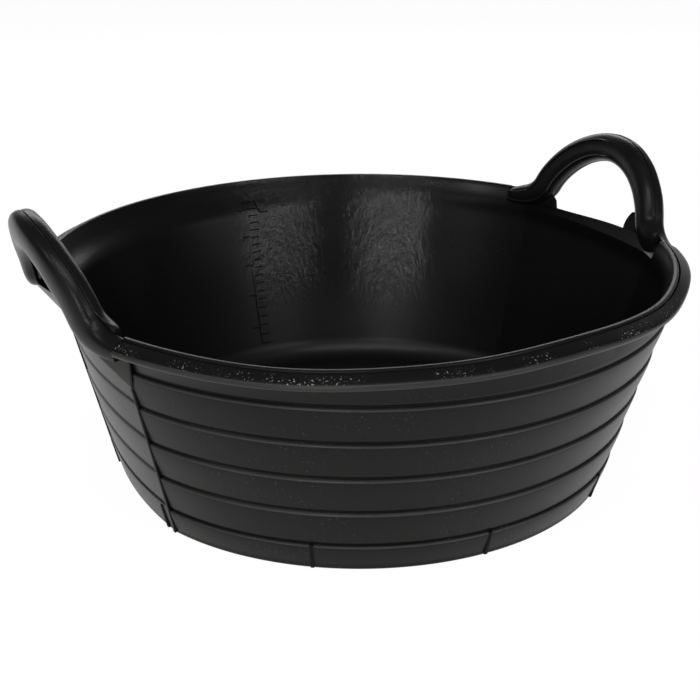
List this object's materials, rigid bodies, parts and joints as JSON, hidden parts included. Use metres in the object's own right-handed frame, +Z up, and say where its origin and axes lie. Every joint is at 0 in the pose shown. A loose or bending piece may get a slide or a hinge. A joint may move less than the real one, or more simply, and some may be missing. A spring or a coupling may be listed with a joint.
{
  "type": "rubber feed tub",
  "caption": "Round black rubber feed tub with a banded tapering wall, an outward rim and a pair of arched lifting handles.",
  "frame": {"origin": "centre of the flat underside, on the ground", "axes": "+Z up, +X to the right handle, +Y to the back wall that carries the litre scale"},
  "size_m": [0.5212, 0.5064, 0.23],
  "materials": {
    "wall_rubber": "satin black moulded rubber, slightly mottled",
    "rim_rubber": "satin black rubber with a rough trimmed edge",
    "grip_rubber": "smooth black rubber, rubbed to a low gloss"
  },
  "bodies": {
    "root": {"tub_shell": "wall_rubber", "front_rim_strip": "rim_rubber", "back_rim_strip": "rim_rubber", "right_handle_outer": "grip_rubber", "right_handle_inner": "grip_rubber", "left_handle_outer": "grip_rubber", "left_handle_inner": "grip_rubber", "right_front_gusset": "wall_rubber", "right_back_gusset": "wall_rubber", "left_front_gusset": "wall_rubber", "left_back_gusset": "wall_rubber"}
  },
  "joints": []
}
